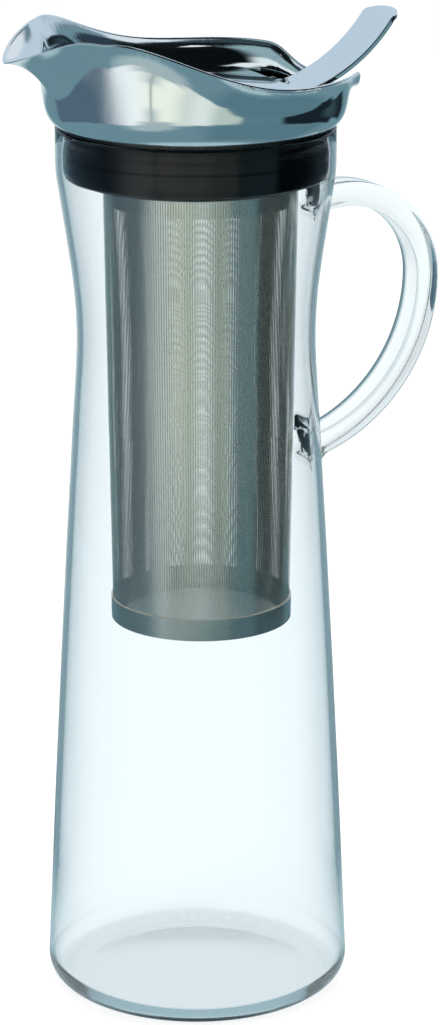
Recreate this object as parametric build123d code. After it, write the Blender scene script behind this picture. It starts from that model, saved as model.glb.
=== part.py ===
from build123d import *
import math
import os

os.makedirs("parts", exist_ok=True)

# Cold brew pitcher. Millimetres, +Z up, origin at the middle of the base on the table.
# +X points to the handle and the thumb lever, -X to the spout.

# Glass jug
base_radius = 46.4
base_corner = 7.0
wall = 1.8
floor_thickness = 2.6
punt_depth = 1.0
foot_width = 4.5
punt_run = 4.0
punt_share = 0.8
body_mid_radius = 41.75
body_mid_height = 100.0
shoulder_radius = 35.9
shoulder_height = 197.0
flare_start_radius = 37.25
flare_start_height = 227.0
flare_end_radius = 40.95
flare_end_height = 252.0
mouth_radius = 41.4
mouth_height = 258.0
rim_height = 268.4
seam_turn = 180.0

# Glass handle
strap_width = 12.0
strap_thickness = 7.4
strap_edge_radius = 1.8
handle_reach = 74.8
handle_top_height = 244.2
handle_top_radius = 27.3
handle_root_slope = 4.6
handle_low_radius = 51.9
handle_low_turn = 78.0

# Stopper plug that drops into the mouth
running_gap = 0.3
plug_radius = 36.0
plug_wall = 2.4
plug_bottom = 252.4
plug_base_thickness = 2.0
plug_corner = 1.2
flange_gap = 0.2
brim_inset = 0.5
snap_gap = 0.15
snap_bead = 0.4
snap_bead_height = 0.6
pour_slot_width = 2.3
pour_slot_count = 5
pour_slot_arc = 20.0
pour_slot_pitch = 25.0
pour_slot_edge = 0.4

# Silicone gasket round the plug
gasket_band_radius = 39.1
gasket_band_bottom = 253.6
gasket_band_top = 263.5
gasket_taper_radius = 38.6
gasket_taper_height = 2.6
gasket_chamfer = 0.6
gasket_groove_height = 260.5
gasket_groove_width = 0.8
gasket_groove_depth = 0.8
gasket_lip_height = 265.6
gasket_lip_thickness = 0.9
gasket_sleeve = 1.0
gasket_sleeve_top = 267.0

# Chrome collar
collar_edge_radius = 41.7
collar_edge_height = 269.4
collar_wall = 1.5
collar_rim_wall = 1.1
collar_rim_crown = 0.45
shoulder_bow_radius = 43.9
shoulder_bow_rise = 3.2
belly_radius = 44.8
belly_rise = 7.6
flare_fraction = 0.27
flare_rise_fraction = 0.55
snap_lip_height = 1.0
snap_lip_setback = 1.1
rim_stations = [
    (0, 14.8, 21.2),
    (6, 13.0, 22.7),
    (12, 10.2, 24.9),
    (20, 6.2, 27.7),
    (30, 3.6, 28.8),
    (42, 2.5, 28.8),
    (56, 2.0, 26.1),
    (72, 3.3, 21.7),
    (90, 5.0, 17.5),
    (108, 5.7, 16.3),
    (126, 5.2, 16.6),
    (138, 4.4, 16.5),
    (145, 3.8, 15.5),
    (151, 3.1, 12.8),
    (157, 2.5, 10.6),
    (166, 2.1, 9.6),
    (180, 2.0, 9.4),
]
notch_half_width = 11.8
notch_top_half_width = 17.0
notch_rise = 3.6
notch_corner = 3.0

# Deck inside the collar
deck_rise = 2.0
deck_thickness = 1.6
deck_radius = 41.3
pour_radius = 31.5
pour_back = 20.0
seat_lip_wall = 1.6
lever_pocket_start = 34.0

# Hinge, flap and thumb lever
hinge_x = 30.0
hinge_z = 275.6
pin_radius = 1.25
pin_fit = 0.05
pin_head_radius = 2.0
pin_head_thickness = 0.8
knuckle_radius = 2.2
knuckle_half_width = 9.5
ear_radius = 2.7
ear_thickness = 2.6
ear_gap = 0.4
flap_radius = 37.4
flap_bottom = 278.0
flap_thickness = 1.2
flap_seat_gap = 0.3
flap_edge_round = 0.5
lever_thickness = 1.4
lever_half_width = 9.5
lever_tongue_length = 14.0
lever_root_x = 35.0
lever_root_slope = 20.0
lever_root_rise = 0.6
lever_arc_radius = 50.0
lever_arc_turn = 34.5
lever_bend_radius = 2.6
lever_bend_turn = 34.0
lever_tip_length = 4.2
lever_tip_round = 5.2
lever_blend_length = 1.5
lever_edge_round = 0.35
cut_margin = 1.0

# Strainer
strainer_offset = 1.5
strainer_top_radius = 28.9
strainer_bottom_radius = 26.8
strainer_bottom = 117.4
mesh_thickness = 0.5
weld_gap = 0.02
ring_neck_radius = 28.6
ring_wall = 1.2
ring_rise = 9.0
ring_flange_radius = 29.9
ring_flange_thickness = 1.2
ring_skirt = 5.0
lug_reach = 1.5
lug_thickness = 1.6
lug_arc = 24.0
lug_count = 3
lug_rise = 4.8
twist_angle = 40.0
twist_stop_gap = 1.5
socket_wall = 2.9
socket_rise = 10.0
band_height = 6.6
band_wall = 0.5
band_flange = 3.0
base_mesh_gap = 0.1
seam_width = 4.0
seam_thickness = 0.4
seam_azimuth = 140.0

# Places worked out from the sizes above
plug_inner = plug_radius - plug_wall
brim_bottom = rim_height + flange_gap
deck_bottom = collar_edge_height + deck_rise
belly_height = collar_edge_height + belly_rise
ring_flange_top = plug_bottom - running_gap
ring_flange_bottom = ring_flange_top - ring_flange_thickness
strainer_axis = Axis((strainer_offset, 0, 0), (0, 0, 1))


def wall_outline(inset, floor, corner):
    """Half outline of the blown body, moved inwards by the wall on the inside."""
    low = (base_radius - inset, floor + corner)
    start = (base_radius - inset - corner, floor)
    corner_sag = corner * (1 - math.sqrt(0.5))
    corner_mid = (base_radius - inset - corner_sag, floor + corner_sag)
    cone = ThreePointArc(
        low,
        (body_mid_radius - inset, body_mid_height),
        (shoulder_radius - inset, shoulder_height),
    )
    flare_slope = (flare_end_radius - flare_start_radius, flare_end_height - flare_start_height)
    waist = Spline(
        cone @ 1,
        (flare_start_radius - inset, flare_start_height),
        tangents=(cone % 1, flare_slope),
    )
    flare = Line(waist @ 1, (flare_end_radius - inset, flare_end_height))
    mouth = Spline(
        flare @ 1,
        (mouth_radius - inset, mouth_height),
        tangents=(flare_slope, (0, 1)),
    )
    neck = Line(mouth @ 1, (mouth_radius - inset, rim_height - wall / 2))
    return [ThreePointArc(start, corner_mid, low), cone, waist, flare, mouth, neck]


def glass_body():
    """Blown jug: base with a flat foot ring, long cone, waist, flare and fire-polished rim.

    The seam line of the turned surface lies below the spout, clear of the handle.
    """
    outside = wall_outline(0, 0, base_corner)
    inside = wall_outline(wall, floor_thickness, base_corner - wall / 2)
    rim = ThreePointArc(
        outside[-1] @ 1,
        (mouth_radius - wall / 2, rim_height),
        inside[-1] @ 1,
    )
    foot_outer = base_radius - base_corner
    foot_inner = foot_outer - foot_width
    foot = Line((foot_outer, 0), (foot_inner, 0))
    punt = Spline(
        (foot_inner, 0),
        (foot_inner - punt_run, punt_depth * punt_share),
        (0, punt_depth),
        tangents=((-1, 0), (-1, 0)),
    )
    axis_line = Line((0, punt_depth), (0, floor_thickness))
    floor_line = Line((0, floor_thickness), inside[0] @ 0)
    outline = Wire([foot, punt, axis_line, floor_line, *inside, rim, *outside])
    profile = Plane.XZ * make_face(outline.edges())
    return revolve(profile, Axis.Z).rotate(Axis.Z, seam_turn)


def glass_envelope():
    """Solid of everything inside the jug's outer face, to cut the handle's ends to it."""
    outside = wall_outline(0, 0, base_corner)
    top = Line(outside[-1] @ 1, (0, rim_height - wall / 2))
    side = Line((0, rim_height - wall / 2), (0, 0))
    bottom = Line((0, 0), outside[0] @ 0)
    profile = Plane.XZ * make_face([*outside, top, side, bottom])
    return revolve(profile, Axis.Z).rotate(Axis.Z, seam_turn)


def handle_path():
    """Centre line of the handle strap in the XZ plane: rising root, bend and long lower sweep."""
    slope = math.radians(handle_root_slope)
    bend_x = handle_reach - handle_top_radius * (1 + math.sin(slope))
    bend_z = handle_top_height - handle_top_radius * (1 - math.cos(slope))
    root_x = mouth_radius - 2 * wall
    root = Line((root_x, bend_z - (bend_x - root_x) * math.tan(slope)), (bend_x, bend_z))
    bend = JernArc(root @ 1, root % 1, handle_top_radius, -90 - handle_root_slope)
    low = JernArc(bend @ 1, bend % 1, handle_low_radius, -handle_low_turn)
    return Plane.XZ * Wire([root, bend, low])


def glass_handle():
    """Drawn glass strap, welded to the body at both ends."""
    path = handle_path()
    start = Plane(path @ 0, x_dir=(0, 1, 0), z_dir=path % 0)
    strap = sweep(start * RectangleRounded(strap_width, strap_thickness, strap_edge_radius), path)
    return strap - glass_envelope()


def turned(points, axis=Axis.Z, arc=360):
    """Solid turned about an upright axis from the corners of its half section."""
    shift = axis.position.X
    section = Polyline(*[(shift + radius, height) for radius, height in points], close=True)
    return revolve(Plane.XZ * make_face(section), axis, revolution_arc=arc)


def tube(inner, outer, bottom, top, axis=Axis.Z, arc=360):
    """Upright ring, or a sector of one, between two radii and two heights."""
    corners = [(inner, bottom), (outer, bottom), (outer, top), (inner, top)]
    return turned(corners, axis, arc)


def ring_sector(inner, outer, bottom, top, middle, arc, axis=Axis.Z):
    """Sector of an upright ring, centred on an angle from +X."""
    return tube(inner, outer, bottom, top, axis, arc).rotate(axis, middle - arc / 2)


def stopper_plug():
    """Moulded plug: wall, brim on the glass rim, spigot, strainer socket and pour slots."""
    spigot_radius = collar_edge_radius - collar_wall - snap_gap
    bead_bottom = collar_edge_height + snap_lip_height + snap_gap
    corners = [
        (0, plug_bottom),
        (plug_radius - plug_corner, plug_bottom),
        (plug_radius, plug_bottom + plug_corner),
        (plug_radius, brim_bottom),
        (collar_edge_radius - brim_inset, brim_bottom),
        (collar_edge_radius - brim_inset, collar_edge_height),
        (spigot_radius, collar_edge_height),
        (spigot_radius, bead_bottom),
        (spigot_radius + snap_bead, bead_bottom),
        (spigot_radius, bead_bottom + snap_bead_height),
        (spigot_radius, deck_bottom),
        (plug_inner, deck_bottom),
        (plug_inner, plug_bottom + plug_base_thickness),
        (0, plug_bottom + plug_base_thickness),
    ]
    plug = turned(corners)
    socket_radius = ring_neck_radius + running_gap
    socket_outer = socket_radius + socket_wall
    socket_top = plug_bottom + socket_rise
    plug += tube(socket_radius, socket_outer, plug_bottom, socket_top, strainer_axis)
    plug -= tube(0, socket_radius, plug_bottom - cut_margin, socket_top + cut_margin, strainer_axis)
    lug_bottom = plug_bottom + lug_rise
    groove_radius = ring_neck_radius + lug_reach + running_gap
    for index in range(lug_count):
        home = index * 360 / lug_count
        stop_arc = lug_arc + 2 * twist_stop_gap
        plug -= ring_sector(
            socket_radius - cut_margin,
            groove_radius,
            lug_bottom - running_gap,
            lug_bottom + lug_thickness + running_gap,
            home + twist_angle / 2,
            stop_arc + twist_angle,
            strainer_axis,
        )
        plug -= ring_sector(
            socket_radius - cut_margin,
            groove_radius,
            plug_bottom - cut_margin,
            lug_bottom,
            home + twist_angle,
            stop_arc,
            strainer_axis,
        )
    slot_outer = plug_inner - pour_slot_edge
    for index in range(pour_slot_count):
        middle = 180 + (index - (pour_slot_count - 1) / 2) * pour_slot_pitch
        plug -= ring_sector(
            slot_outer - pour_slot_width,
            slot_outer,
            plug_bottom - cut_margin,
            plug_bottom + plug_base_thickness + cut_margin,
            middle,
            pour_slot_arc,
        )
    return plug


def neck_gasket():
    """Silicone sleeve stretched over the plug: broad ribbed band and one thin upper lip."""
    sleeve = plug_radius + gasket_sleeve
    groove = gasket_band_radius - gasket_groove_depth
    lip_bottom = gasket_lip_height - gasket_lip_thickness / 2
    lip_top = gasket_lip_height + gasket_lip_thickness / 2
    return turned([
        (plug_radius, gasket_band_bottom),
        (gasket_taper_radius - gasket_chamfer, gasket_band_bottom),
        (gasket_taper_radius, gasket_band_bottom + gasket_chamfer),
        (gasket_band_radius, gasket_band_bottom + gasket_taper_height),
        (gasket_band_radius, gasket_groove_height - gasket_groove_width / 2),
        (groove, gasket_groove_height),
        (gasket_band_radius, gasket_groove_height + gasket_groove_width / 2),
        (gasket_band_radius, gasket_band_top),
        (sleeve, gasket_band_top),
        (sleeve, lip_bottom),
        (gasket_band_radius, lip_bottom + gasket_lip_thickness / 3),
        (gasket_band_radius, lip_top),
        (sleeve, lip_top),
        (sleeve, gasket_sleeve_top),
        (plug_radius, gasket_sleeve_top),
    ])


def collar_section(angle, overhang, rise):
    """Radial section of the collar's wall, standing in the half plane at an angle from the spout."""
    rim_radius = belly_radius + overhang
    rim_top = collar_edge_height + rise - collar_rim_crown
    flare_rise = belly_rise + (rise - belly_rise) * flare_rise_fraction
    flare = (belly_radius + overhang * flare_fraction, collar_edge_height + flare_rise)
    bow = (shoulder_bow_radius, collar_edge_height + shoulder_bow_rise)
    belly = (belly_radius, belly_height)
    outside = Spline((collar_edge_radius, collar_edge_height), bow, belly, flare, (rim_radius, rim_top))
    lip_radius = collar_edge_radius - collar_wall
    lip_top = collar_edge_height + snap_lip_height
    inside_start = (shoulder_bow_radius - collar_wall - snap_lip_setback, lip_top)
    inside = Spline(
        (rim_radius - collar_rim_wall, rim_top),
        (flare[0] - collar_wall, flare[1]),
        (belly[0] - collar_wall, belly[1]),
        (bow[0] - collar_wall, bow[1]),
        inside_start,
    )
    rim_middle = (rim_radius - collar_rim_wall / 2, rim_top + collar_rim_crown)
    edges = [
        outside,
        ThreePointArc(outside @ 1, rim_middle, inside @ 0),
        inside,
        Line(inside @ 1, (lip_radius, lip_top)),
        Line((lip_radius, lip_top), (lip_radius, collar_edge_height)),
        Line((lip_radius, collar_edge_height), outside @ 0),
    ]
    face = make_face(edges)
    direction = Vector(-1, 0, 0).rotate(Axis.Z, -angle)
    return Plane(origin=(0, 0, 0), x_dir=direction, z_dir=direction.cross(Vector(0, 0, 1))) * face


def notch_cutter():
    """Rounded dip through the rear of the collar, where the thumb lever passes."""
    floor = collar_edge_height + notch_rise
    top = belly_height + 2 * belly_rise
    outline = Polyline(
        (-notch_half_width, floor),
        (notch_half_width, floor),
        (notch_top_half_width, top),
        (-notch_top_half_width, top),
        close=True,
    )
    face = make_face(outline)
    corners = face.vertices().sort_by(Axis.Y)[:2]
    face = fillet(corners, notch_corner)
    return extrude(Plane.YZ.offset(lever_pocket_start) * face, amount=2 * belly_radius)


def pouring_collar():
    """Chrome collar lofted round half the ring from wall sections, mirrored, with the lever's notch."""
    lead_in = [(-angle, out, rise) for angle, out, rise in reversed(rim_stations[1:3])]
    lead_out = [(360 - angle, out, rise) for angle, out, rise in reversed(rim_stations[-3:-1])]
    sections = [collar_section(*station) for station in [*lead_in, *rim_stations, *lead_out]]
    size = 4 * belly_radius
    half_space = Location((0, size / 2, collar_edge_height)) * Box(size, size, size)
    half = loft(sections) & half_space
    whole = half + half.mirror(Plane.XZ)
    return whole - notch_cutter()


def lid_deck():
    """Black deck inside the collar: D-shaped pour opening, seat lip, lever pocket and hinge ears."""
    def pour_shape(radius, back):
        return Circle(radius) & Location((-radius, 0)) * Rectangle(2 * (radius + back), 2 * radius)

    plate = Circle(deck_radius) - pour_shape(pour_radius, pour_back)
    pocket_width = 2 * notch_half_width
    plate -= Location((lever_pocket_start + deck_radius / 2, 0)) * Rectangle(deck_radius, pocket_width)
    deck = extrude(Plane.XY.offset(deck_bottom) * plate, amount=deck_thickness)
    lip = pour_shape(pour_radius + seat_lip_wall, pour_back + seat_lip_wall)
    lip -= pour_shape(pour_radius, pour_back)
    deck += extrude(Plane.XY.offset(deck_bottom) * lip, amount=flap_bottom - flap_seat_gap - deck_bottom)
    tongue_room = lever_half_width + ear_gap
    tongue_floor = flap_bottom - lever_thickness - flap_seat_gap
    recess = Box(
        2 * (hinge_x - pour_back) + cut_margin,
        2 * tongue_room,
        flap_bottom - tongue_floor,
        align=(Align.CENTER, Align.CENTER, Align.MIN),
    )
    deck -= Location((hinge_x, 0, tongue_floor)) * recess
    for side in (-1, 1):
        middle = side * (knuckle_half_width + ear_gap + ear_thickness / 2)
        deck += hinge_ear(middle)
    return deck - hinge_rod(pin_radius + pin_fit, 4 * knuckle_half_width)


def hinge_ear(middle):
    """Upright ear of the deck with a round head about the hinge axis."""
    outline = Location((hinge_x, hinge_z)) * Circle(ear_radius)
    height = hinge_z - deck_bottom
    outline += Location((hinge_x, hinge_z - height / 2)) * Rectangle(2 * ear_radius, height)
    plane = Plane.XZ.offset(-middle - ear_thickness / 2)
    return extrude(plane * outline, amount=ear_thickness)


def hinge_rod(radius, length):
    """Round bar along the hinge axis, centred on the middle plane."""
    plane = Plane.XZ.offset(-length / 2)
    return extrude(plane * Location((hinge_x, hinge_z)) * Circle(radius), amount=length)


def hinge_pin():
    """Stainless pin through ears and knuckle, with a low head at each end."""
    span = 2 * (knuckle_half_width + ear_gap + ear_thickness)
    length = span + 2 * pin_head_thickness
    heads = hinge_rod(pin_head_radius, length) - hinge_rod(pin_head_radius + cut_margin, span)
    return hinge_rod(pin_radius, length) + heads


def lid_flap():
    """Round flap plate that covers the pour opening, cut straight in front of the hinge."""
    back = hinge_x - ear_radius - ear_gap
    front = Rectangle(2 * flap_radius, 2 * flap_radius)
    outline = Circle(flap_radius) & Location((back - flap_radius, 0)) * front
    plate = extrude(Plane.XY.offset(flap_bottom) * outline, amount=flap_thickness)
    return fillet(plate.edges().group_by(Axis.Z)[-1], flap_edge_round)


def lever_line(depth):
    """Line of the lever in the XZ plane, at a depth below its upper face, from tongue to tip."""
    root_direction = Vector(1, 0).rotate(Axis.Z, lever_root_slope)
    root = Vector(lever_root_x, flap_bottom + lever_root_rise) - root_direction.rotate(Axis.Z, 90) * depth
    tongue_front = Vector(hinge_x - ear_radius - ear_gap - lever_tongue_length, flap_bottom - depth)
    blend_start = Vector(hinge_x + lever_blend_length, flap_bottom - depth)
    tongue = Line(tongue_front, blend_start)
    blend = Spline(blend_start, root, tangents=((1, 0), root_direction))
    arc = JernArc(root, root_direction, lever_arc_radius + depth, lever_arc_turn)
    bend = JernArc(arc @ 1, arc % 1, lever_bend_radius - depth, -lever_bend_turn)
    tip = Line(bend @ 1, (bend @ 1) + (bend % 1) * lever_tip_length)
    return [tongue, blend, arc, bend, tip]


def thumb_lever():
    """Cast lever: tongue under the flap, knuckle round the pin and the curved thumb strap."""
    upper = lever_line(0)
    lower = lever_line(lever_thickness)
    front = Line(upper[0] @ 0, lower[0] @ 0)
    end = Line(upper[-1] @ 1, lower[-1] @ 1)
    side = make_face([*upper, end, *lower, front])
    strap = extrude(Plane.XZ.offset(-lever_half_width) * side, amount=2 * lever_half_width)
    tip_x = (upper[-1] @ 1).X
    straight = tip_x - lever_tip_round
    plan = Rectangle(straight, 2 * lever_half_width, align=(Align.MIN, Align.CENTER))
    plan += Location((straight, 0)) * Ellipse(lever_tip_round, lever_half_width)
    strap &= extrude(plan, amount=2 * hinge_z)
    outline = strap.edges().filter_by(Axis.Y, reverse=True)
    strap = fillet(outline.filter_by(lambda edge: edge.center().X > lever_root_x), lever_edge_round)
    knuckle = hinge_rod(knuckle_radius, 2 * knuckle_half_width)
    bore = hinge_rod(pin_radius + pin_fit, 4 * knuckle_half_width)
    return strap + knuckle - bore


def strainer_radius(height):
    """Outer radius of the tapered mesh at a height."""
    share = (height - strainer_bottom) / (ring_flange_bottom - strainer_bottom)
    return strainer_bottom_radius + (strainer_top_radius - strainer_bottom_radius) * share


def strainer_top_ring():
    """Stainless ring: skirt welded inside the mesh, flange under the plug, neck with bayonet lugs."""
    neck_inner = ring_neck_radius - ring_wall
    skirt_bottom = ring_flange_bottom - ring_skirt
    skirt_inset = mesh_thickness + weld_gap
    ring = turned(
        [
            (neck_inner, skirt_bottom),
            (strainer_radius(skirt_bottom) - skirt_inset, skirt_bottom),
            (strainer_top_radius - skirt_inset, ring_flange_bottom),
            (ring_flange_radius, ring_flange_bottom),
            (ring_flange_radius, ring_flange_top),
            (ring_neck_radius, ring_flange_top),
            (ring_neck_radius, ring_flange_top + ring_rise),
            (neck_inner, ring_flange_top + ring_rise),
        ],
        strainer_axis,
    )
    lug_bottom = plug_bottom + lug_rise
    for index in range(lug_count):
        ring += ring_sector(
            neck_inner,
            ring_neck_radius + lug_reach,
            lug_bottom,
            lug_bottom + lug_thickness,
            index * 360 / lug_count,
            lug_arc,
            strainer_axis,
        )
    return ring


def strainer_shell(inset, thickness, bottom, top, arc=360):
    """Tapered wall that follows the mesh, from a gap outside its outer face inwards or outwards."""
    return turned(
        [
            (strainer_radius(bottom) + inset, bottom),
            (strainer_radius(bottom) + inset + thickness, bottom),
            (strainer_radius(top) + inset + thickness, top),
            (strainer_radius(top) + inset, top),
        ],
        strainer_axis,
        arc,
    )


def strainer_mesh():
    """Fine stainless mesh rolled to a tapered tube, standing on the base mesh."""
    bottom = strainer_bottom + band_wall + mesh_thickness
    return strainer_shell(-mesh_thickness, mesh_thickness, bottom, ring_flange_bottom)


def strainer_seam():
    """Upright weld strip over the mesh's joint."""
    bottom = strainer_bottom + band_height + base_mesh_gap
    arc = math.degrees(seam_width / strainer_top_radius)
    strip = strainer_shell(weld_gap, seam_thickness, bottom, ring_flange_bottom - base_mesh_gap, arc)
    return strip.rotate(strainer_axis, seam_azimuth)


def strainer_bottom_band():
    """Pressed stainless cup ring round the lower edge, with a flange under the base mesh."""
    top = strainer_bottom + band_height
    outer = band_wall + weld_gap
    return turned(
        [
            (strainer_bottom_radius - band_flange, strainer_bottom),
            (strainer_bottom_radius + outer, strainer_bottom),
            (strainer_radius(top) + outer, top),
            (strainer_radius(top) + weld_gap, top),
            (strainer_radius(strainer_bottom + band_wall) + weld_gap, strainer_bottom + band_wall),
            (strainer_bottom_radius - band_flange, strainer_bottom + band_wall),
        ],
        strainer_axis,
    )


def strainer_base_mesh():
    """Mesh disc that closes the bottom, lying on the band's flange."""
    bottom = strainer_bottom + band_wall
    return tube(0, strainer_bottom_radius - base_mesh_gap, bottom, bottom + mesh_thickness, strainer_axis)


parts = {
    "glass_body": glass_body(),
    "glass_handle": glass_handle(),
    "stopper_plug": stopper_plug(),
    "neck_gasket": neck_gasket(),
    "pouring_collar": pouring_collar(),
    "lid_deck": lid_deck(),
    "hinge_pin": hinge_pin(),
    "lid_flap": lid_flap(),
    "thumb_lever": thumb_lever(),
    "strainer_top_ring": strainer_top_ring(),
    "strainer_mesh": strainer_mesh(),
    "strainer_seam": strainer_seam(),
    "strainer_bottom_band": strainer_bottom_band(),
    "strainer_base_mesh": strainer_base_mesh(),
}

for name, shape in parts.items():
    export_step(shape, f"parts/{name}.step")
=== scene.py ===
import math

import bmesh
import bpy
from mathutils import Matrix, Vector


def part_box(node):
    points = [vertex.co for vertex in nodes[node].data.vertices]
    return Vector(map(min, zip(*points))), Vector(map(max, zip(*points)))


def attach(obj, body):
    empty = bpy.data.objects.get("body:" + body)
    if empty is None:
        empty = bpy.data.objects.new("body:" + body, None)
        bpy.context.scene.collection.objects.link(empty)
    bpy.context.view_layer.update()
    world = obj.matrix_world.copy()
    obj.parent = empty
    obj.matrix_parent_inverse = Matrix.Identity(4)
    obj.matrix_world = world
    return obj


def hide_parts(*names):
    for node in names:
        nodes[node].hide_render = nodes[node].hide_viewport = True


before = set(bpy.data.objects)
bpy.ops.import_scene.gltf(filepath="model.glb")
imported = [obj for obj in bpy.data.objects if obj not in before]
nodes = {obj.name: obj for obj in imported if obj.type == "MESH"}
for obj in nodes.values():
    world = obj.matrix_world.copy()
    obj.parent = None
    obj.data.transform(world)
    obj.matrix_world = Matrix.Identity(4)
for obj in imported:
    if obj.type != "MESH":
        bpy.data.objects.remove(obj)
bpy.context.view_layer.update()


# Camera. It stands a good metre back with a long lens and looks down on the jug by about 17 degrees,
# so the jug shows almost without perspective. In an upright picture the sensor's width lies along the
# height, so the focal length is given in pixels of that height.

PICTURE_HEIGHT = 1025
FOCAL_LENGTH = 3554
CAMERA_PLACE = (-0.41245, -0.94384, 0.4603)
CAMERA_TURN = math.radians(-24.0)
CAMERA_TILT = math.radians(16.8)

lens = bpy.data.cameras.new("camera")
lens.lens = lens.sensor_width * FOCAL_LENGTH / PICTURE_HEIGHT
camera = bpy.data.objects.new("camera", lens)
camera.location = CAMERA_PLACE
camera.rotation_euler = (math.pi / 2 - CAMERA_TILT, 0, CAMERA_TURN)
bpy.context.scene.collection.objects.link(camera)
bpy.context.scene.camera = camera
bpy.context.scene.view_settings.view_transform = "Standard"


# Studio. Soft boxes, cards and black flags stand round a white table. Only what mirrors them shows
# them: the chrome, the steel and the skin of the glass. Seen straight or through glass, all is white.
# Each patch has a place, a half width and a soft edge, in degrees: first its azimuth from +Y towards
# +X, then its elevation from the lid. A later patch covers an earlier one. All other rays find an
# even pale room, which is what fills the shadows.

WALL_TONE = "6B8D98"
CEILING_TONE = "2A363B"
HORIZON_BLEND = (0.0, 6.0)
STUDIO_PATCHES = {
    "left_flag": ((-154, 48, 4), (44, 36, 3), "0A0E10"),
    "right_flag": ((140, 42, 14), (44, 30, 6), "0C1113"),
    "ceiling": ((0, 200, 10), (82, 16, 8), "12171B"),
    "overhead_box": ((-150, 50, 12), (89, 10, 4), "EEF5F7"),
    "left_gradient": ((-80, 26, 12), (42, 30, 10), "90ABB2"),
    "left_soft_box": ((-88, 20, 8), (18, 8, 6), "E2EEF0"),
    "left_strip": ((-118, 22, 8), (11.0, 2.4, 1.2), "E8F0F2"),
    "back_wall": ((24, 50, 6), (22, 26, 8), "C0D2E0"),
    "back_wall_turn": ((80, 6, 5), (14, 20, 8), "6F8D99"),
    "back_soft_box": ((54, 28, 8), (46, 12, 6), "DDE6EE"),
    "back_corner": ((0, 28, 14), (62, 8, 6), "34464C"),
    "right_wall": ((98, 13, 5), (22, 16, 6), "2E3E4A"),
    "right_table": ((140, 56, 16), (-40, 20, 10), "587B86"),
    "far_table": ((22, 18, 10), (-34, 28, 6), "C8DCE0"),
    "near_table": ((0, 200, 10), (-84, 14, 6), "A6C0C8"),
    "card_foot": ((-118, 14, 14), (-28, 5, 5), "A9BEC2"),
    "left_card": ((-75, 49.5, 5), (-12.5, 12.2, 1.2), "526878"),
    "left_card_light": ((-117, 22, 22), (-12.5, 12.2, 1.2), "F4FBFD"),
    "cream_card": ((-157.5, 33.5, 4), (-12, 11.6, 1.2), "B8C8C0"),
    "cream_card_edge": ((-132, 14, 14), (-12, 11.6, 1.2), "F2F8EA"),
    "cream_card_middle": ((-159, 9, 9), (-12, 11.6, 1.2), "E0EAE6"),
    "card_join": ((-123.8, 0.6, 1.8), (-16, 12, 1.2), "939E98"),
    "notch_in_cards": ((-128, 13, 10), (-25, 4.5, 1.2), "A3B6BA"),
    "top_of_notch": ((-124, 3, 9), (-21, 6, 1.2), "A9BABC"),
    "black_card": ((105, 29, 5), (-12.7, 12.4, 1), "18232B"),
    "black_card_end": ((70, 12, 6), (-10.5, 10, 1.2), "18232B"),
    "black_card_light": ((82, 10, 12), (-11, 9, 1.2), "34494F"),
}
GLASS_SKY = 0.2
ROOM_LIGHT = 0.55
ROOM_TONE = "F2F6F8"


def linear(colour):
    """sRGB hex colour as linear red, green, blue and alpha."""
    levels = [int(colour[start:start + 2], 16) / 255 for start in (0, 2, 4)]
    curve = [level / 12.92 if level <= 0.04045 else ((level + 0.055) / 1.055) ** 2.4 for level in levels]
    return curve + [1]


def add_node(tree, kind, inputs=None, **settings):
    """Adds a node, sets its properties, fills its sockets with values or links, and returns it."""
    node = tree.nodes.new(kind)
    for name, value in settings.items():
        setattr(node, name, value)
    for name, value in (inputs or {}).items():
        if isinstance(value, bpy.types.NodeSocket):
            tree.links.new(value, node.inputs[name])
        else:
            node.inputs[name].default_value = value
    return node


def calculate(tree, operation, *values):
    """Result of a maths node on one or two values."""
    return add_node(tree, "ShaderNodeMath", dict(enumerate(values)), operation=operation).outputs[0]


def cover(tree, factor, under, over):
    """Lays one colour over another by a factor."""
    inputs = {"Factor": factor, "A": under, "B": over}
    return add_node(tree, "ShaderNodeMix", inputs, data_type="RGBA").outputs["Result"]


def blend(tree, factor, under, over):
    """Goes from one shader to another by a factor."""
    return add_node(tree, "ShaderNodeMixShader", {0: factor, 1: under.outputs[0], 2: over.outputs[0]})


def wedge(tree, angle, middle, half, edge):
    """One within a half width of a middle angle and nought past its soft edge."""
    distance = calculate(tree, "ABSOLUTE", calculate(tree, "SUBTRACT", angle, middle))
    return add_node(tree, "ShaderNodeMapRange", {
        "Value": distance,
        "From Min": half + edge,
        "From Max": half - edge,
    }, interpolation_type="SMOOTHERSTEP").outputs[0]


def studio_colour(tree, direction):
    """Colour of the studio in a direction from the lid."""
    height = add_node(tree, "ShaderNodeSeparateXYZ", {0: direction}).outputs["Z"]
    elevation = calculate(tree, "DEGREES", calculate(tree, "ARCSINE", height))
    above = add_node(tree, "ShaderNodeMapRange", {
        "Value": elevation,
        "From Min": HORIZON_BLEND[0],
        "From Max": HORIZON_BLEND[1],
    })
    colour = cover(tree, above.outputs[0], linear(WALL_TONE), linear(CEILING_TONE))
    for (azimuth, half_width, side_edge), (rise, half_height, foot_edge), tone in STUDIO_PATCHES.values():
        turned = add_node(tree, "ShaderNodeVectorRotate", {
            "Vector": direction,
            "Angle": math.radians(azimuth),
        }, rotation_type="Z_AXIS")
        split = add_node(tree, "ShaderNodeSeparateXYZ", {0: turned.outputs[0]})
        side = calculate(tree, "DEGREES", calculate(tree, "ARCTAN2", split.outputs["X"], split.outputs["Y"]))
        across = wedge(tree, side, 0.0, half_width, side_edge)
        upright = wedge(tree, elevation, rise, half_height, foot_edge)
        colour = cover(tree, calculate(tree, "MULTIPLY", across, upright), colour, linear(tone))
    return colour


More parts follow.
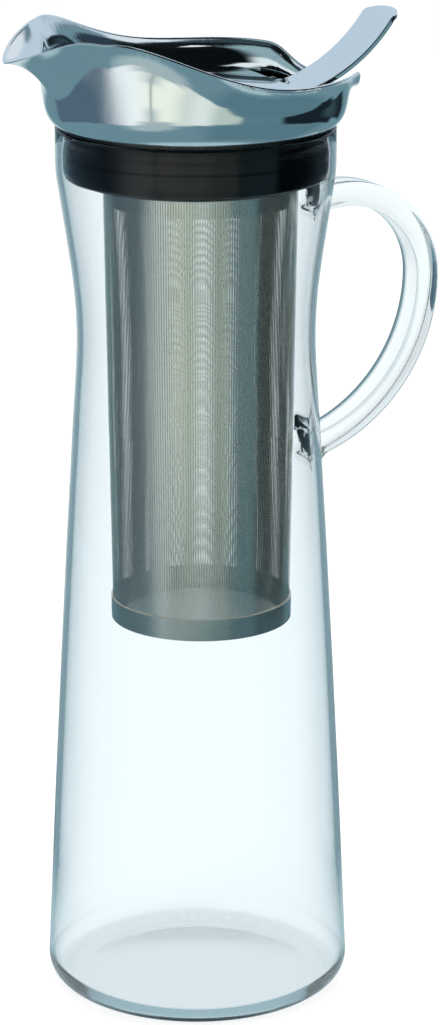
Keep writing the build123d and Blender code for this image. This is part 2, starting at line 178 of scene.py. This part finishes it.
def seen_rays(tree):
    """One for what is seen straight, in a mirror or through glass, and nought for what only lights."""
    path = add_node(tree, "ShaderNodeLightPath")
    no_glass = calculate(tree, "MAXIMUM", path.outputs["Is Camera Ray"], path.outputs["Is Glossy Ray"])
    return calculate(tree, "MAXIMUM", no_glass, path.outputs["Is Transmission Ray"])


def passed_glass(tree, faces):
    """One where a ray has gone through so many faces of glass or more, else nought."""
    depth = add_node(tree, "ShaderNodeLightPath").outputs["Transmission Depth"]
    return calculate(tree, "GREATER_THAN", depth, faces - 0.5)


def mirrored_share(tree):
    """Share of the studio that a ray shows.

    What was mirrored shows all of it. Inside glass each further bounce shows less of it and more white.
    """
    bounces = add_node(tree, "ShaderNodeLightPath").outputs["Glossy Depth"]
    mirrored = calculate(tree, "MINIMUM", bounces, 1.0)
    repeats = calculate(tree, "MAXIMUM", bounces, 1.0)
    power = calculate(tree, "MULTIPLY", passed_glass(tree, 1), -1.0)
    return calculate(tree, "MULTIPLY", mirrored, calculate(tree, "POWER", repeats, power))


world = bpy.data.worlds.new("white_studio")
bpy.context.scene.world = world
world.use_nodes = True
tree = world.node_tree
tree.nodes.clear()
direction = add_node(tree, "ShaderNodeTexCoord").outputs["Generated"]
white = add_node(tree, "ShaderNodeBackground", {"Color": (1, 1, 1, 1), "Strength": 1.0})
studio = add_node(tree, "ShaderNodeBackground", {"Color": studio_colour(tree, direction), "Strength": 1.0})
fill = add_node(tree, "ShaderNodeBackground", {"Color": linear(ROOM_TONE), "Strength": ROOM_LIGHT})

# What leaves the glass upwards keeps only a fifth of the studio, so wall and handle stay clear.
sky = add_node(tree, "ShaderNodeMapRange", {
    "Value": passed_glass(tree, 1),
    "To Min": 1.0,
    "To Max": GLASS_SKY,
})
share = calculate(tree, "MULTIPLY", mirrored_share(tree), sky.outputs[0])
shown = blend(tree, seen_rays(tree), fill, blend(tree, share, white, studio))
add_node(tree, "ShaderNodeOutputWorld", {"Surface": shown.outputs[0]})


# Table. White seamless paper that lies under the jug and runs out of sight, lit until it is nearly as
# white as the room, with a faint shadow left under the jug. In a mirror it shows the studio's lower
# half, looked up from the axis at the height of what mirrors it: the lid, or the strainer when the
# ray has come through both faces of the jug's wall twice.

LID_HEIGHT = 0.28
STRAINER_HEIGHT = 0.17
WALL_FACES_TWICE = 4
TABLE_RADIUS = 6.0
TABLE_STEPS = 96
PAPER_TONE = 0.30
PAPER_GLOW = 0.82
PAPER_BOUNCE = 0.8


def new_material(name):
    """Empty node material with its output, ready for a shader."""
    material = bpy.data.materials.new(name)
    material.use_nodes = True
    tree = material.node_tree
    tree.nodes.clear()
    return material, tree, add_node(tree, "ShaderNodeOutputMaterial")


def grey(level):
    """Linear grey with its alpha."""
    return (level, level, level, 1)


material, tree, output = new_material("white_seamless_paper")
place = add_node(tree, "ShaderNodeTexCoord").outputs["Object"]
eye_height = add_node(tree, "ShaderNodeMapRange", {
    "Value": passed_glass(tree, WALL_FACES_TWICE),
    "To Min": LID_HEIGHT,
    "To Max": STRAINER_HEIGHT,
})
eye = add_node(tree, "ShaderNodeCombineXYZ", {"Z": eye_height.outputs[0]})
from_eye = add_node(tree, "ShaderNodeVectorMath", {0: place, 1: eye.outputs[0]}, operation="SUBTRACT")
direction = add_node(tree, "ShaderNodeVectorMath", {0: from_eye.outputs[0]}, operation="NORMALIZE").outputs[0]
paper = add_node(tree, "ShaderNodeBsdfDiffuse", {"Color": grey(PAPER_TONE)})
glow = add_node(tree, "ShaderNodeEmission", {"Color": grey(1), "Strength": PAPER_GLOW})
lit = add_node(tree, "ShaderNodeAddShader", {0: paper.outputs[0], 1: glow.outputs[0]})
studio = add_node(tree, "ShaderNodeEmission", {"Color": studio_colour(tree, direction), "Strength": 1.0})
bounce = add_node(tree, "ShaderNodeBsdfDiffuse", {"Color": grey(PAPER_BOUNCE)})
shown = blend(tree, seen_rays(tree), bounce, blend(tree, mirrored_share(tree), lit, studio))
tree.links.new(shown.outputs[0], output.inputs["Surface"])

bm = bmesh.new()
bmesh.ops.create_circle(bm, cap_ends=True, segments=TABLE_STEPS, radius=TABLE_RADIUS)
mesh = bpy.data.meshes.new("floor")
bm.to_mesh(mesh)
bm.free()
mesh.materials.append(material)
floor = bpy.data.objects.new("floor", mesh)
bpy.context.scene.collection.objects.link(floor)


# Lamps. Three large soft lamps light the black plastic and the table. They aren't mirrored in the
# jug, since the studio round it already shows what the chrome mirrors.

LAMP_AIM = Vector((0, 0, 0.14))


def lamp_box(name, place, size, power):
    """Rectangular lamp that looks at the middle of the jug."""
    light = bpy.data.lights.new(name, "AREA")
    light.shape = "RECTANGLE"
    light.size, light.size_y = size
    light.energy = power
    lamp = bpy.data.objects.new(name, light)
    lamp.location = place
    lamp.rotation_euler = (LAMP_AIM - Vector(place)).to_track_quat("-Z", "Y").to_euler()
    lamp.visible_glossy = False
    lamp.visible_transmission = False
    bpy.context.scene.collection.objects.link(lamp)


lamp_box("top_light", place=(0.1, 0.3, 1.6), size=(1.2, 1.2), power=14)
lamp_box("left_light", place=(-1.4, -0.6, 0.9), size=(0.8, 1.2), power=8)
lamp_box("right_light", place=(1.3, -0.9, 0.9), size=(0.8, 1.2), power=6)


# Glass jug. One piece of borosilicate glass: the body is blown in a mould and fire polished at the
# rim, and a drawn strap is welded on hot at both ends as the handle.
# Clear, with a sea-green tint that only builds up along the wall and in the strap, and a surface
# that waves very slightly, so that what stands behind it wavers.

JUG_STEPS = 192
MERGE = 1e-5
WALL = 0.0018
PUNT_DEPTH = 0.001
PUNT_RADIUS = 0.0349
PUNT_CEILING = 0.0024
STRAP_WIDTH = 0.012
STRAP_THICKNESS = 0.0074
STRAP_EDGE_RADIUS = 0.0018
STRAP_EDGE_STEPS = 6
ROOT_SLOPE = math.radians(4.6)
BEND_RADIUS = 0.0273
BEND_STEPS = 36
SWEEP_RADIUS = 0.0519
SWEEP_STEPS = 44
ROOT_WALL_RADIUS = 0.0393
ROOT_WALL_LEAN = math.radians(8.4)
SWEEP_WALL_RADIUS = 0.0377
SWEEP_WALL_LEAN = math.radians(-3.5)
WELD_SPREAD = 1.22
WELD_LENGTH = 0.0035
WELD_STEPS = 5
CREASE_ANGLE = math.radians(40)
GLASS_SHINE = 0.3

glass_material, tree, output = new_material("blown_borosilicate_glass")
place = add_node(tree, "ShaderNodeTexCoord").outputs["Object"]
mould_draw = add_node(tree, "ShaderNodeMapping", {"Vector": place, "Scale": (30, 30, 8)})
ripple = add_node(tree, "ShaderNodeTexNoise", {"Vector": mould_draw.outputs[0], "Scale": 1.0, "Detail": 1.0})
waviness = add_node(tree, "ShaderNodeBump", {
    "Height": ripple.outputs["Fac"],
    "Strength": 0.15,
    "Distance": 0.0002,
})
glass = add_node(tree, "ShaderNodeBsdfPrincipled", {
    "Base Color": linear("F5FAFC"),
    "Roughness": 0.0,
    "IOR": 1.474,
    "Specular Tint": grey(GLASS_SHINE),
    "Transmission Weight": 1.0,
    "Normal": waviness.outputs[0],
})
tint = add_node(tree, "ShaderNodeVolumeAbsorption", {"Color": linear("9CCDD4"), "Density": 9.0})
tree.links.new(glass.outputs[0], output.inputs["Surface"])
tree.links.new(tint.outputs[0], output.inputs["Volume"])


def whole(bm):
    """Everything in a mesh, as the cutting and turning operators take it."""
    return bm.verts[:] + bm.edges[:] + bm.faces[:]


def glass_object(name, bm):
    """Glass object with outward normals and smooth faces."""
    bmesh.ops.recalc_face_normals(bm, faces=bm.faces[:])
    for face in bm.faces:
        face.smooth = True
    mesh = bpy.data.meshes.new(name)
    bm.to_mesh(mesh)
    bm.free()
    mesh.materials.append(glass_material)
    piece = bpy.data.objects.new(name, mesh)
    bpy.context.scene.collection.objects.link(piece)
    return piece


# The body is the CAD's own profile, cut out of its mesh in one half plane and turned again in finer
# steps. Its underside becomes one plain dome.
bm = bmesh.new()
bm.from_mesh(nodes["glass_body"].data)
bmesh.ops.remove_doubles(bm, verts=bm.verts[:], dist=MERGE)
bmesh.ops.bisect_plane(bm, geom=whole(bm), plane_co=(0, 0, 0), plane_no=(0, 1, 0),
                       clear_inner=True, clear_outer=True)
bmesh.ops.bisect_plane(bm, geom=whole(bm), plane_co=(0, 0, 0), plane_no=(1, 0, 0), clear_inner=True)
bmesh.ops.remove_doubles(bm, verts=bm.verts[:], dist=MERGE)
for vert in bm.verts:
    if vert.co.x < PUNT_RADIUS and vert.co.z < PUNT_CEILING:
        vert.co.z = PUNT_DEPTH * (1 - (vert.co.x / PUNT_RADIUS) ** 2)
bmesh.ops.spin(bm, geom=whole(bm), cent=(0, 0, 0), axis=(0, 0, 1), angle=2 * math.pi,
               steps=JUG_STEPS, use_merge=True)
bmesh.ops.remove_doubles(bm, verts=bm.verts[:], dist=MERGE)
glass_jug = glass_object("glass_jug", bm)
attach(glass_jug, "jug")
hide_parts("glass_body", "glass_handle")

# The strap follows the CAD handle: out from the neck, round a tight bend and down a wide sweep.
handle_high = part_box("glass_handle")[1]
strap_reach = handle_high.x - STRAP_THICKNESS / 2
strap_top = handle_high.z - STRAP_THICKNESS / 2
bend_centre = Vector((strap_reach - BEND_RADIUS, 0, strap_top - BEND_RADIUS))
sweep_centre = Vector((strap_reach - SWEEP_RADIUS, 0, bend_centre.z))
root_direction = Vector((math.cos(ROOT_SLOPE), 0, math.sin(ROOT_SLOPE)))
bend_start = bend_centre + BEND_RADIUS * Vector((-math.sin(ROOT_SLOPE), 0, math.cos(ROOT_SLOPE)))
root_length = (bend_start.x - ROOT_WALL_RADIUS) / root_direction.x
root_start = bend_start - root_direction * (root_length + WALL)
sweep_turn = math.acos((SWEEP_WALL_RADIUS - sweep_centre.x) / SWEEP_RADIUS)
sweep_end = sweep_centre + SWEEP_RADIUS * Vector((math.cos(sweep_turn), 0, -math.sin(sweep_turn)))
weld_turn = WELD_LENGTH / SWEEP_RADIUS


def drawn_on(face, operator, **settings):
    """Draws the strap on from its end face and gives the new end face."""
    made = operator(bm, geom=face + face[0].edges[:], **settings)
    ends = made.get("geom_last", made.get("geom"))
    return [item for item in ends if isinstance(item, bmesh.types.BMFace)]


def drawn_along(face, step):
    """Draws the strap straight on by a step."""
    face = drawn_on(face, bmesh.ops.extrude_face_region)
    bmesh.ops.translate(bm, verts=face[0].verts[:], vec=step)
    return face


def drawn_round(face, centre, turn, steps):
    """Draws the strap round a centre in its own plane."""
    return drawn_on(face, bmesh.ops.spin, cent=centre, axis=(0, 1, 0), angle=turn, steps=steps)


def widen(face, factor):
    """Widens the strap's end about its middle."""
    middle = face[0].calc_center_median()
    bmesh.ops.scale(bm, verts=face[0].verts[:], vec=(factor,) * 3, space=Matrix.Translation(-middle))


def weld_width(step):
    """Width of the strap as a share, some steps out from the wall. It flares where the hot glass ran."""
    return 1 + (WELD_SPREAD - 1) * (1 - step / WELD_STEPS) ** 2


# It is drawn on from a rounded section, flares at both welds, and ends halfway through the body's wall.
bm = bmesh.new()
bmesh.ops.create_grid(bm, x_segments=1, y_segments=1, size=0.5)
bmesh.ops.scale(bm, vec=(STRAP_WIDTH, STRAP_THICKNESS, 1), verts=bm.verts[:])
bmesh.ops.bevel(bm, geom=bm.verts[:], offset=STRAP_EDGE_RADIUS, offset_type="OFFSET",
                segments=STRAP_EDGE_STEPS, profile=0.5, affect="VERTICES", material=-1)
across = Matrix((
    (0, -root_direction.z, root_direction.x),
    (1, 0, 0),
    (0, root_direction.x, root_direction.z),
))
bmesh.ops.rotate(bm, cent=(0, 0, 0), matrix=across, verts=bm.verts[:])
bmesh.ops.translate(bm, vec=root_start, verts=bm.verts[:])
face = bm.faces[:]
widen(face, WELD_SPREAD)
face = drawn_along(face, root_direction * WALL)
for step in range(WELD_STEPS):
    face = drawn_along(face, root_direction * WELD_LENGTH / WELD_STEPS)
    widen(face, weld_width(step + 1) / weld_width(step))
face = drawn_along(face, root_direction * (root_length - WELD_LENGTH))
face = drawn_round(face, bend_centre, math.pi / 2 + ROOT_SLOPE, BEND_STEPS)
face = drawn_round(face, sweep_centre, sweep_turn - weld_turn, SWEEP_STEPS)
for step in reversed(range(WELD_STEPS)):
    face = drawn_round(face, sweep_centre, weld_turn / WELD_STEPS, 1)
    widen(face, weld_width(step) / weld_width(step + 1))
face = drawn_round(face, sweep_centre, weld_turn, 1)
strap_ends = (
    (ROOT_WALL_RADIUS, bend_start.z, ROOT_WALL_LEAN),
    (SWEEP_WALL_RADIUS, sweep_end.z, SWEEP_WALL_LEAN),
)
for radius, height, lean in strap_ends:
    bmesh.ops.bisect_plane(bm, geom=whole(bm), plane_co=(radius - WALL / 2, 0, height),
                           plane_no=(math.cos(lean), 0, -math.sin(lean)), clear_inner=True)
    bmesh.ops.holes_fill(bm, edges=[edge for edge in bm.edges if edge.is_boundary])
strap = glass_object("strap", bm)

# The weld fuses both into one piece of glass, so no face is left inside it.
weld = glass_jug.modifiers.new("weld", "BOOLEAN")
weld.operation = "UNION"
weld.solver = "EXACT"
weld.object = strap
evaluated = glass_jug.evaluated_get(bpy.context.evaluated_depsgraph_get())
fused = bpy.data.meshes.new_from_object(evaluated)
glass_jug.modifiers.clear()
glass_jug.data = fused
fused.set_sharp_from_angle(angle=CREASE_ANGLE)
bpy.data.objects.remove(strap)


# Stopper and deck. Injection moulded polypropylene, black all through: the plug that sits in the neck
# and the deck with the pour opening. The skin is smooth and fairly glossy, with a little flow grain.

material, tree, output = new_material("moulded_black_polypropylene")
place = add_node(tree, "ShaderNodeTexCoord").outputs["Object"]
grain = add_node(tree, "ShaderNodeTexNoise", {"Vector": place, "Scale": 900.0, "Detail": 2.0})
skin = add_node(tree, "ShaderNodeMapRange", {"Value": grain.outputs["Fac"], "To Min": 0.20, "To Max": 0.32})
rise = add_node(tree, "ShaderNodeBump", {
    "Height": grain.outputs["Fac"],
    "Strength": 0.2,
    "Distance": 0.00003,
})
shader = add_node(tree, "ShaderNodeBsdfPrincipled", {
    "Base Color": linear("0A0B0C"),
    "Roughness": skin.outputs[0],
    "IOR": 1.49,
    "Normal": rise.outputs[0],
})
tree.links.new(shader.outputs[0], output.inputs["Surface"])
for name in ("stopper_plug", "lid_deck"):
    nodes[name].data.materials[0] = material


# Gasket. A sleeve of black silicone rubber, moulded with broad ribs and pulled over the plug.
# It is deep black, with a soft shine that wanders a little, as on rubber that has been handled.

material, tree, output = new_material("black_silicone_rubber")
place = add_node(tree, "ShaderNodeTexCoord").outputs["Object"]
bloom = add_node(tree, "ShaderNodeTexNoise", {"Vector": place, "Scale": 140.0, "Detail": 3.0})
skin = add_node(tree, "ShaderNodeMapRange", {"Value": bloom.outputs["Fac"], "To Min": 0.12, "To Max": 0.2})
shader = add_node(tree, "ShaderNodeBsdfPrincipled", {
    "Base Color": linear("060708"),
    "Roughness": skin.outputs[0],
    "IOR": 1.43,
    "Specular IOR Level": 0.25,
})
tree.links.new(shader.outputs[0], output.inputs["Surface"])
nodes["neck_gasket"].data.materials[0] = material


# Pouring collar, flap and thumb lever. Zinc castings, polished and chrome plated.
# The plate is a true mirror, with the faint long waves of gloss that hand polishing leaves.

material, tree, output = new_material("bright_chrome_plate")
place = add_node(tree, "ShaderNodeTexCoord").outputs["Object"]
polish = add_node(tree, "ShaderNodeTexNoise", {"Vector": place, "Scale": 60.0, "Detail": 1.0})
skin = add_node(tree, "ShaderNodeMapRange", {"Value": polish.outputs["Fac"], "To Min": 0.02, "To Max": 0.05})
shader = add_node(tree, "ShaderNodeBsdfPrincipled", {
    "Base Color": linear("F2F6F8"),
    "Metallic": 1.0,
    "Roughness": skin.outputs[0],
})
tree.links.new(shader.outputs[0], output.inputs["Surface"])
for name in ("pouring_collar", "lid_flap", "thumb_lever"):
    nodes[name].data.materials[0] = material


# Strainer rings, weld strip and hinge pin. Stainless strip and wire, pressed or cut and then tumbled.
# The satin finish has fine lines that run round each ring and break up its highlights.

material, tree, output = new_material("satin_stainless_steel")
place = add_node(tree, "ShaderNodeTexCoord").outputs["Object"]
brush = add_node(tree, "ShaderNodeMapping", {"Vector": place, "Scale": (40, 40, 2400)})
lines = add_node(tree, "ShaderNodeTexNoise", {"Vector": brush.outputs[0], "Scale": 1.0, "Detail": 2.0})
skin = add_node(tree, "ShaderNodeMapRange", {"Value": lines.outputs["Fac"], "To Min": 0.16, "To Max": 0.3})
shader = add_node(tree, "ShaderNodeBsdfPrincipled", {
    "Base Color": linear("CBC9C2"),
    "Metallic": 1.0,
    "Roughness": skin.outputs[0],
})
tree.links.new(shader.outputs[0], output.inputs["Surface"])
for name in ("strainer_top_ring", "strainer_bottom_band", "strainer_seam", "hinge_pin"):
    nodes[name].data.materials[0] = material


# Strainer mesh and its base. Fine stainless wire in a plain weave, rolled to a tube and closed by a
# disc. The real mesh has about 0.15 mm between wires, too fine to show, so the upright wires are
# drawn 0.8 mm apart and the level ones 0.22 mm. Both faces of the wall carry the weave, so it closes
# where it is seen aslant, as round wires do.

WARP_HALF_PITCH = 0.0004
WEFT_HALF_PITCH = 0.00011
WARP_SHARE = 0.40
WEFT_SHARE = 0.24


def weave(tree, output, warp, weft):
    """Bright steel on the wires and nothing between them, from the count of half pitches both ways."""
    on_warp = calculate(tree, "LESS_THAN", calculate(tree, "PINGPONG", warp, 1.0), WARP_SHARE)
    on_weft = calculate(tree, "LESS_THAN", calculate(tree, "PINGPONG", weft, 1.0), WEFT_SHARE)
    shader = add_node(tree, "ShaderNodeBsdfPrincipled", {
        "Base Color": linear("DEDDD4"),
        "Metallic": 1.0,
        "Roughness": 0.22,
        "Alpha": calculate(tree, "MAXIMUM", on_warp, on_weft),
    })
    tree.links.new(shader.outputs[0], output.inputs["Surface"])


strainer_low, strainer_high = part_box("strainer_mesh")
strainer_x = (strainer_low.x + strainer_high.x) / 2
strainer_radius = (strainer_high.x - strainer_low.x) / 2
warp_count = round(2 * math.pi * strainer_radius / WARP_HALF_PITCH)

material, tree, output = new_material("woven_stainless_mesh")
place = add_node(tree, "ShaderNodeTexCoord").outputs["Object"]
centred = add_node(tree, "ShaderNodeVectorMath", {0: place, 1: (strainer_x, 0, 0)}, operation="SUBTRACT")
split = add_node(tree, "ShaderNodeSeparateXYZ", {0: centred.outputs[0]})
turn = calculate(tree, "ARCTAN2", split.outputs["Y"], split.outputs["X"])
warp = calculate(tree, "MULTIPLY", turn, warp_count / (2 * math.pi))
weft = calculate(tree, "MULTIPLY", split.outputs["Z"], 1 / WEFT_HALF_PITCH)
weave(tree, output, warp, weft)
nodes["strainer_mesh"].data.materials[0] = material

material, tree, output = new_material("woven_stainless_disc")
place = add_node(tree, "ShaderNodeTexCoord").outputs["Object"]
split = add_node(tree, "ShaderNodeSeparateXYZ", {0: place})
warp = calculate(tree, "MULTIPLY", split.outputs["X"], 1 / WARP_HALF_PITCH)
weft = calculate(tree, "MULTIPLY", split.outputs["Y"], 1 / WEFT_HALF_PITCH)
weave(tree, output, warp, weft)
nodes["strainer_base_mesh"].data.materials[0] = material
